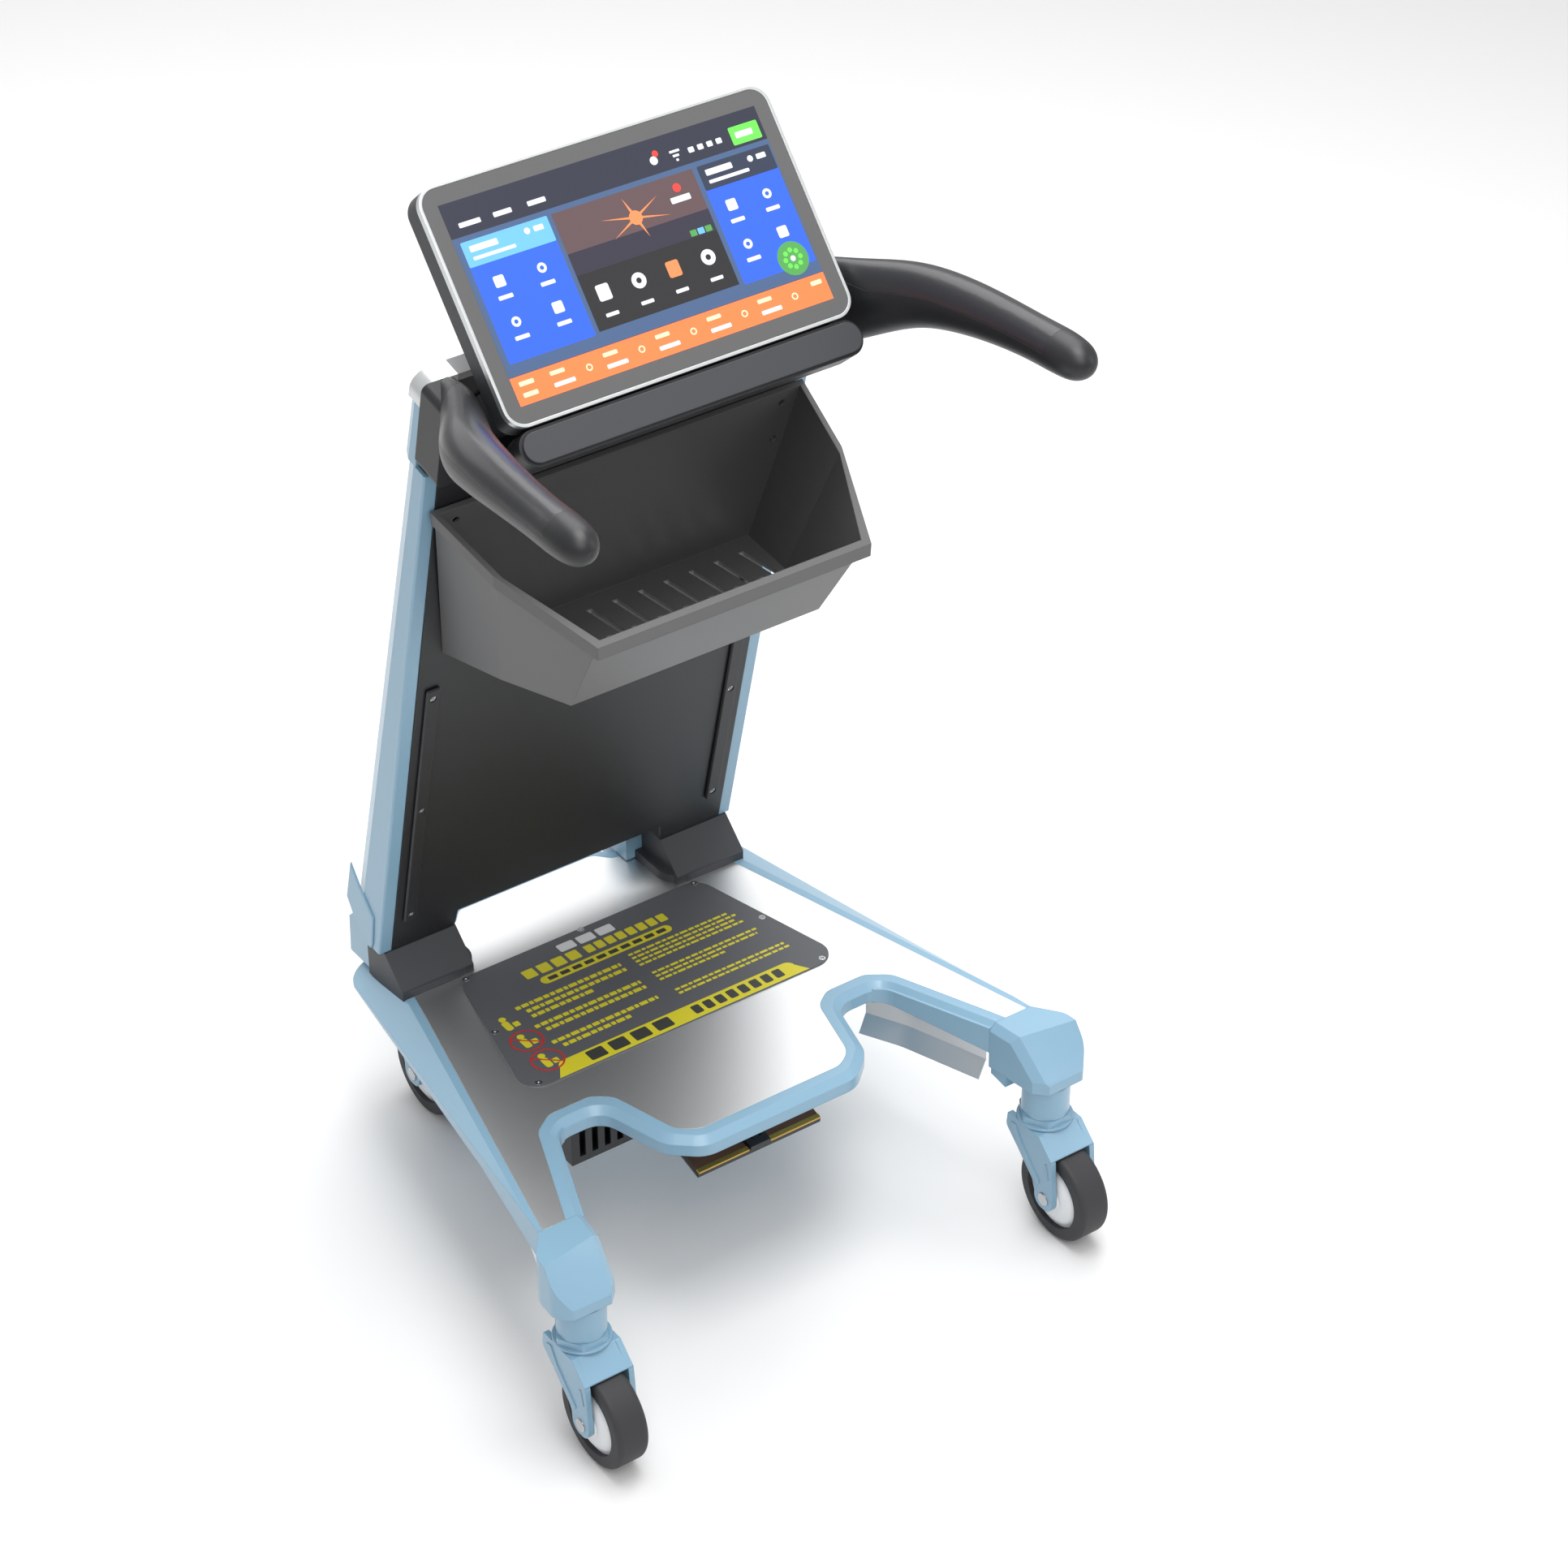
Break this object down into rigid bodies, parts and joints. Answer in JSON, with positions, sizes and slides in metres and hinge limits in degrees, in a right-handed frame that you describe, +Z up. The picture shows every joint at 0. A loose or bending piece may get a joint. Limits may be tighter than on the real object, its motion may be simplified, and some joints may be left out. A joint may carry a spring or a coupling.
{
  "type": "airport luggage trolley",
  "caption": "Nesting airport luggage trolley with a tablet display, a basket, horn handles and swivel casters.",
  "frame": {"origin": "on the floor, under the middle of the object's bounding box", "axes": "+X to the user's right, +Y towards the leading end with the column, +Z up"},
  "size_m": [0.6452, 0.6691, 1.1741],
  "materials": {
    "blue_paint": "satin",
    "tyre_rubber": "matte",
    "hub_white": "gloss",
    "bright_steel": "polished",
    "brushed_stainless": "brushed",
    "info_grey": "satin",
    "black_panel": "matte",
    "dark_grey_cover": "matte",
    "basket_grey": "satin",
    "handle_dark": "satin",
    "grip_grey": "matte",
    "silver_aluminium": "satin",
    "light_grey_cover": "matte",
    "screen_glass": "gloss",
    "contact_brown": "satin",
    "contact_gold": "polished"
  },
  "bodies": {
    "frame": {"base_frame": "blue_paint", "basket": "basket_grey", "basket_screws": "bright_steel", "battery_pack": "black_panel", "caster_stems": "blue_paint", "column_rails": "blue_paint", "contact_block": "black_panel", "contact_pads": "contact_brown", "contact_plate": "black_panel", "contact_strips": "contact_gold", "corner_caps": "silver_aluminium", "deck_plate": "brushed_stainless", "display_bracket": "black_panel", "display_frame": "silver_aluminium", "display_glass": "screen_glass", "display_shell": "dark_grey_cover", "foot_caps": "blue_paint", "foot_castings": "blue_paint", "foot_covers": "dark_grey_cover", "front_panel": "black_panel", "grip_inserts": "grip_grey", "guide_rails": "brushed_stainless", "handle_shells": "handle_dark", "info_plate": "info_grey", "info_plate_screws": "bright_steel", "junction_housing": "black_panel", "lcd_panel": "black_panel", "leg_end_castings": "blue_paint", "rear_cover": "black_panel", "speaker_body": "black_panel", "speaker_face": "dark_grey_cover", "stem_nuts": "blue_paint", "top_cover": "light_grey_cover", "vent_housing": "black_panel", "wear_strip_screws": "bright_steel", "wear_strips": "black_panel"},
    "caster_front_left": {"fork_front_left": "blue_paint", "race_front_left": "bright_steel", "axle_front_left": "bright_steel"},
    "wheel_front_left": {"tyre_front_left": "tyre_rubber", "wheel_core_front_left": "hub_white", "bearings_front_left": "bright_steel"},
    "caster_front_right": {"fork_front_right": "blue_paint", "race_front_right": "bright_steel", "axle_front_right": "bright_steel"},
    "wheel_front_right": {"tyre_front_right": "tyre_rubber", "wheel_core_front_right": "hub_white", "bearings_front_right": "bright_steel"},
    "caster_rear_left": {"fork_rear_left": "blue_paint", "race_rear_left": "bright_steel", "axle_rear_left": "bright_steel"},
    "wheel_rear_left": {"tyre_rear_left": "tyre_rubber", "wheel_core_rear_left": "hub_white", "bearings_rear_left": "bright_steel"},
    "caster_rear_right": {"fork_rear_right": "blue_paint", "race_rear_right": "bright_steel", "axle_rear_right": "bright_steel"},
    "wheel_rear_right": {"tyre_rear_right": "tyre_rubber", "wheel_core_rear_right": "hub_white", "bearings_rear_right": "bright_steel"}
  },
  "joints": [
    {"name": "swivel_front_left", "type": "hinge", "parent": "frame", "child": "caster_front_left", "pos_m": [-0.2843, -0.245, 0.12], "axis": [0, 0, 1], "continuous": true},
    {"name": "roll_front_left", "type": "hinge", "parent": "caster_front_left", "child": "wheel_front_left", "pos_m": [-0.2843, -0.2818, 0.0528], "axis": [1, 0, 0], "continuous": true},
    {"name": "swivel_front_right", "type": "hinge", "parent": "frame", "child": "caster_front_right", "pos_m": [0.2843, -0.245, 0.12], "axis": [0, 0, 1], "continuous": true},
    {"name": "roll_front_right", "type": "hinge", "parent": "caster_front_right", "child": "wheel_front_right", "pos_m": [0.2843, -0.2818, 0.0528], "axis": [1, 0, 0], "continuous": true},
    {"name": "swivel_rear_left", "type": "hinge", "parent": "frame", "child": "caster_rear_left", "pos_m": [-0.1393, 0.3051, 0.12], "axis": [0, 0, 1], "continuous": true},
    {"name": "roll_rear_left", "type": "hinge", "parent": "caster_rear_left", "child": "wheel_rear_left", "pos_m": [-0.1393, 0.2683, 0.0528], "axis": [1, 0, 0], "continuous": true},
    {"name": "swivel_rear_right", "type": "hinge", "parent": "frame", "child": "caster_rear_right", "pos_m": [0.1393, 0.3051, 0.12], "axis": [0, 0, 1], "continuous": true},
    {"name": "roll_rear_right", "type": "hinge", "parent": "caster_rear_right", "child": "wheel_rear_right", "pos_m": [0.1393, 0.2683, 0.0528], "axis": [1, 0, 0], "continuous": true}
  ]
}
